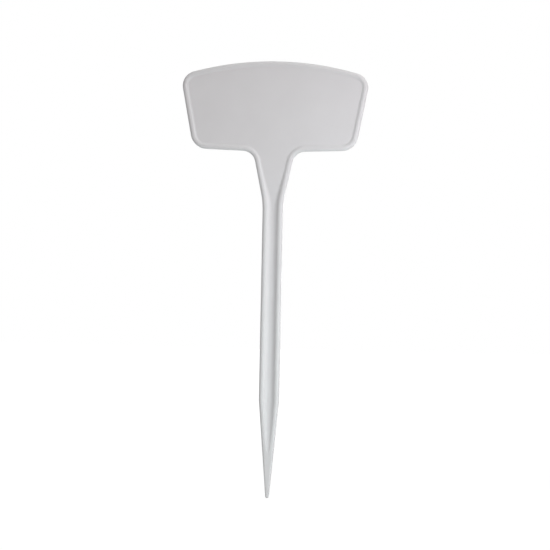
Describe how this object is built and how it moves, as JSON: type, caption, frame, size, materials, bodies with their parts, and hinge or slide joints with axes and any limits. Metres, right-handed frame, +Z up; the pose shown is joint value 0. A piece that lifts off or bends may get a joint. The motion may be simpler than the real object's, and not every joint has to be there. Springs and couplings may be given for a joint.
{
  "type": "plant label stake",
  "caption": "White moulded T-shaped plant label: a tapered plate with a raised rim and a flat panel to write on, a short neck, and a troughed stake with a point to push into soil.",
  "frame": {"origin": "tip of the stake, in the middle of its thickness", "axes": "+Z up the stake to the plate, X across the plate, and -Y out of the written side"},
  "size_m": [0.0852, 0.0026, 0.2],
  "materials": {
    "white_plastic": "satin moulded white plastic with a fine matt grain that takes pencil"
  },
  "bodies": {
    "root": {"writing_panel": "white_plastic", "plate_rim": "white_plastic", "neck": "white_plastic", "stake_shaft": "white_plastic", "stake_point": "white_plastic"}
  },
  "joints": []
}
